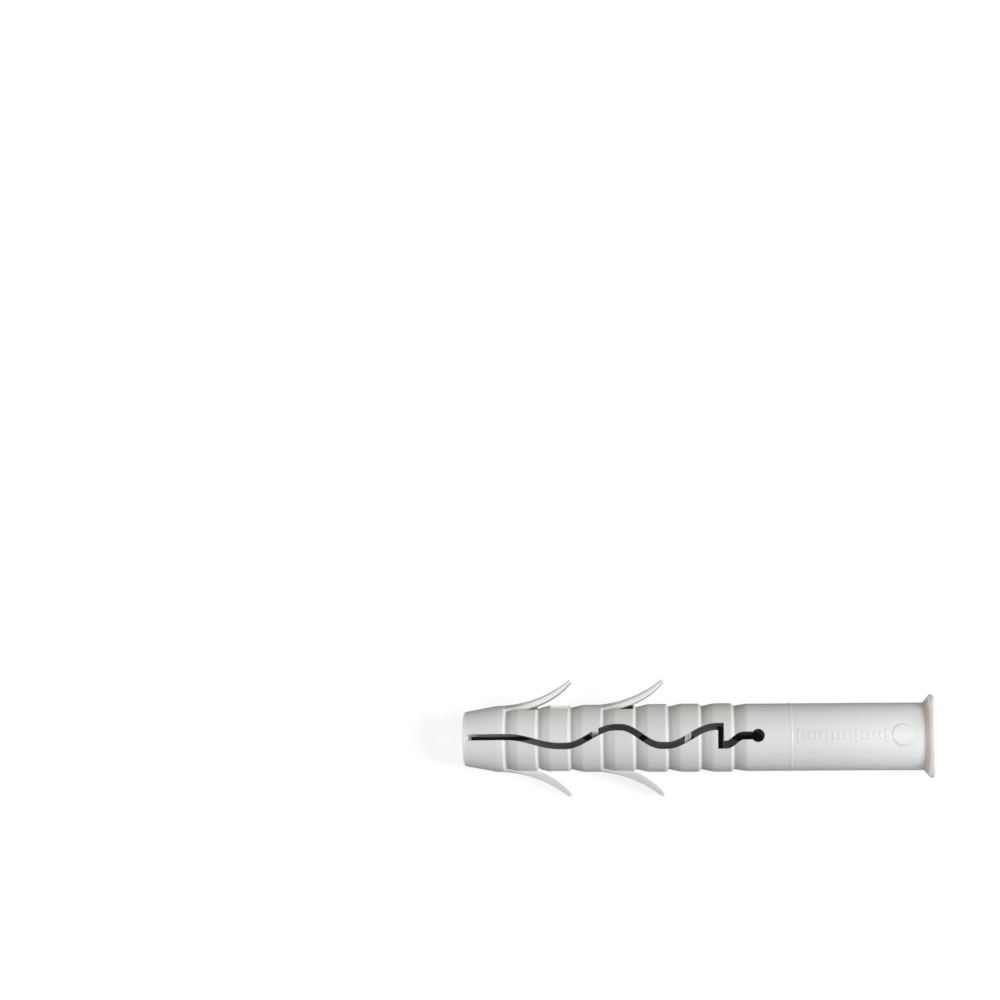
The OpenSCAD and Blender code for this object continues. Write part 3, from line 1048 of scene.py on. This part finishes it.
class MarksLook(bpy.types.PropertyGroup):
    tick_count: IntProperty(
        name="Ticks", description="Number of raised bars on the sleeve", default=16, min=2, max=30)
    tick_spacing: FloatProperty(
        name="Tick Spacing", description="Distance between the bars in millimetres",
        default=1.23, min=0.5, max=3)
    tick_length: FloatProperty(
        name="Tick Length", description="Length of the longest bars in millimetres",
        default=2.7, min=0.5, max=4)
    mark_height: FloatProperty(
        name="Mark Height", description="Height of the raised marks in millimetres",
        default=0.022, min=0.02, max=0.3)
    disc_radius: FloatProperty(
        name="Disc Radius", description="Radius of the raised disc in millimetres",
        default=2.35, min=0.5, max=3)
    seam_thickness: FloatProperty(
        name="Parting Ridge", description="Thickness of the parting ridge in millimetres",
        default=0.12, min=0.04, max=0.3)


class StageLook(bpy.types.PropertyGroup):
    floor_colour: FloatVectorProperty(
        name="Floor", description="Colour of the floor", subtype="COLOR",
        default=(0.35, 0.35, 0.35), min=0, max=1)
    floor_lift: FloatProperty(
        name="Floor Lift", description="How much lighter the camera sees the floor",
        default=4.3, min=1, max=6)
    shadow_depth: FloatProperty(
        name="Shadow Depth", description="How far the camera sees the shadow on the floor",
        subtype="FACTOR", default=0.15, min=0, max=1)
    lens: FloatProperty(
        name="Lens", description="Focal length of the camera in millimetres",
        default=93.99, min=35, max=200)


class PLUG_OT_body(bpy.types.Operator):
    """Turn, cut and finish the moulded body in place of the plain solid"""
    bl_idname = "plug.body"
    bl_label = "Plug Body"

    def execute(self, context):
        look = context.scene.plug_nylon
        skin = nylon_finish(look, "nylon_skin", look.translucency, 1.0)
        body = plug_body(context.scene.plug_body_look, skin)
        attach(body, "root")
        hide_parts("anchor_plug")
        return {"FINISHED"}


class PLUG_OT_marks(bpy.types.Operator):
    """Raise a row of ticks and a plain disc on the sleeve"""
    bl_idname = "plug.marks"
    bl_label = "Sleeve Marks"

    def execute(self, context):
        look = context.scene.plug_marks
        # The marks get a copy of the finish darkened by its level, a painted shade
        skin = nylon_finish(context.scene.plug_nylon, "thin_skin", 0.0, 0.95)
        start = mesh_of("marks_start", [(0, 0, 0)], [])
        raised = {"Sink": MARK_SINK, "Radius": SLEEVE_R, "Material": skin}
        ticks = ticks_shape().made_on(
            "sleeve_ticks", start, Count=look.tick_count, Spacing=look.tick_spacing, Width=TICK_W,
            Length=look.tick_length, Height=look.mark_height, **raised)
        laid(ticks, skin, TICKS_X)
        disc = disc_shape().made_on("sleeve_disc", start, Disc_Radius=look.disc_radius,
                                    Height=look.mark_height * DISC_RISE, **raised)
        laid(disc, skin, DISC_X)
        return {"FINISHED"}


class PLUG_OT_seam(bpy.types.Operator):
    """Draw the fine parting ridge along both sides of the plug"""
    bl_idname = "plug.seam"
    bl_label = "Parting Ridge"

    def execute(self, context):
        look = context.scene.plug_marks
        skin = bpy.data.materials["thin_skin"]
        runs = seam_runs(look.seam_thickness * RIDGE_SINK)
        line = outline_mesh("ridge_outline", runs, False)
        ridge = seam_shape().made_on("parting_ridge", line, Thickness=look.seam_thickness, Sides=8,
                                     Corner_Steps=4, Material=skin)
        laid(ridge, skin)
        return {"FINISHED"}


def add_lamp(data, place, target):
    """Puts a lamp at a place beside the plug, turned to a point on it."""
    place = Vector(place) * MM
    look = (Vector(target) * MM - place).to_track_quat("-Z", "Y")
    lamp = added(data.name, data)
    lamp.matrix_world = rolled(Matrix.Translation(place) @ look.to_matrix().to_4x4())


def add_light(name, place, size, level, tint):
    """Soft lamp; a white card in the plug's place would show the level."""
    distance = (Vector(LAMP_TARGET) - Vector(place)).length
    data = bpy.data.lights.new(name, "AREA")
    data.shape = "RECTANGLE"
    data.size, data.size_y = size[0] * MM, size[1] * MM
    data.energy = level * (math.pi * distance * MM) ** 2
    data.color = tint
    add_lamp(data, place, LAMP_TARGET)


def add_spot(name, place, target, reach, level):
    """Soft-edged spot that lights a circle; a white card at its target would show the level."""
    distance = (Vector(target) - Vector(place)).length
    data = bpy.data.lights.new(name, "SPOT")
    data.spot_size = 2 * math.atan(reach / distance)
    data.spot_blend = 1.0
    data.shadow_soft_size = 10 * MM
    data.energy = level * 4 * (math.pi * distance * MM) ** 2
    add_lamp(data, place, target)


def add_floor(look):
    """Floor that the nose and the collar both touch, so it leans along the plug."""
    half = 1.5
    corners = [(-half, -half, 0), (half, -half, 0), (half, half, 0), (-half, half, 0)]
    mesh = mesh_of("floor", corners, [(0, 1, 2, 3)])
    mesh.materials.append(floor_finish(look))
    floor = added("floor", mesh)
    nose = Vector((FIRST_STEP - STEP_L - PLUG_L, 0, -NOSE_TOP_R)) * MM
    collar = Vector((-RIM_T, 0, -COLLAR_R)) * MM
    lean = math.atan2(nose.z - collar.z, collar.x - nose.x)
    floor.matrix_world = Matrix.Translation(collar) @ Matrix.Rotation(lean, 4, "Y")


def add_camera(lens):
    """Camera of the photograph, which looks along the slots."""
    data = bpy.data.cameras.new("photo_camera")
    data.lens = lens
    data.sensor_width = 36
    data.clip_start = 0.01
    data.clip_end = 20
    placing = Matrix.Translation(Vector(CAMERA_PLACE) * MM)
    for degrees, axis in CAMERA_TURNS:
        placing = placing @ Matrix.Rotation(math.radians(degrees), 4, axis)
    camera = added("photo_camera", data)
    camera.matrix_world = rolled(placing)
    return camera


def add_air():
    """World that the camera sees white, and that hardly lights the plug."""
    world = bpy.data.worlds.new("studio_air")
    world.use_nodes = True
    nodes, links = world.node_tree.nodes, world.node_tree.links
    air = nodes["Background"]
    air.inputs["Color"].default_value = (1, 1, 1, 1)
    path = nodes.new("ShaderNodeLightPath")
    level = nodes.new("ShaderNodeMapRange")
    level.inputs["To Min"].default_value = 0.03
    level.inputs["To Max"].default_value = 1.0
    links.new(path.outputs["Is Camera Ray"], level.inputs["Value"])
    links.new(level.outputs["Result"], air.inputs["Strength"])
    return world


class PLUG_OT_stage(bpy.types.Operator):
    """Lay the floor under the plug and set up the lamps and the camera"""
    bl_idname = "plug.stage"
    bl_label = "Studio"

    def execute(self, context):
        scene = context.scene
        look = scene.plug_stage
        add_floor(look)
        scene.camera = add_camera(look.lens)
        for lamp in LAMPS:
            add_light(*lamp)
        for spot in SPOTS:
            add_spot(*spot)
        scene.world = add_air()
        scene.view_settings.view_transform = "Standard"
        return {"FINISHED"}


class PLUG_PT_sidebar(bpy.types.Panel):
    bl_idname = "PLUG_PT_sidebar"
    bl_label = "Frame Plug"
    bl_space_type = "VIEW_3D"
    bl_region_type = "UI"
    bl_category = "Plug"

    def draw(self, context):
        for operator in OPERATORS:
            self.layout.operator(operator.bl_idname)
        for name in LOOKS:
            settings = getattr(context.scene, name)
            for key in settings.__annotations__:
                self.layout.prop(settings, key)


LOOKS = {"plug_body_look": BodyLook, "plug_nylon": NylonLook, "plug_marks": MarksLook,
         "plug_stage": StageLook}
OPERATORS = (PLUG_OT_body, PLUG_OT_marks, PLUG_OT_seam, PLUG_OT_stage)


def register():
    for look in LOOKS.values():
        bpy.utils.register_class(look)
    for operator in OPERATORS:
        bpy.utils.register_class(operator)
    bpy.utils.register_class(PLUG_PT_sidebar)
    for name, look in LOOKS.items():
        setattr(bpy.types.Scene, name, PointerProperty(type=look))


def unregister():
    for name in LOOKS:
        delattr(bpy.types.Scene, name)
    bpy.utils.unregister_class(PLUG_PT_sidebar)
    for operator in reversed(OPERATORS):
        bpy.utils.unregister_class(operator)
    for look in reversed(LOOKS.values()):
        bpy.utils.unregister_class(look)


def main():
    register()
    bpy.ops.plug.body()
    bpy.ops.plug.marks()
    bpy.ops.plug.seam()
    bpy.ops.plug.stage()


if __name__ == "__main__":
    main()
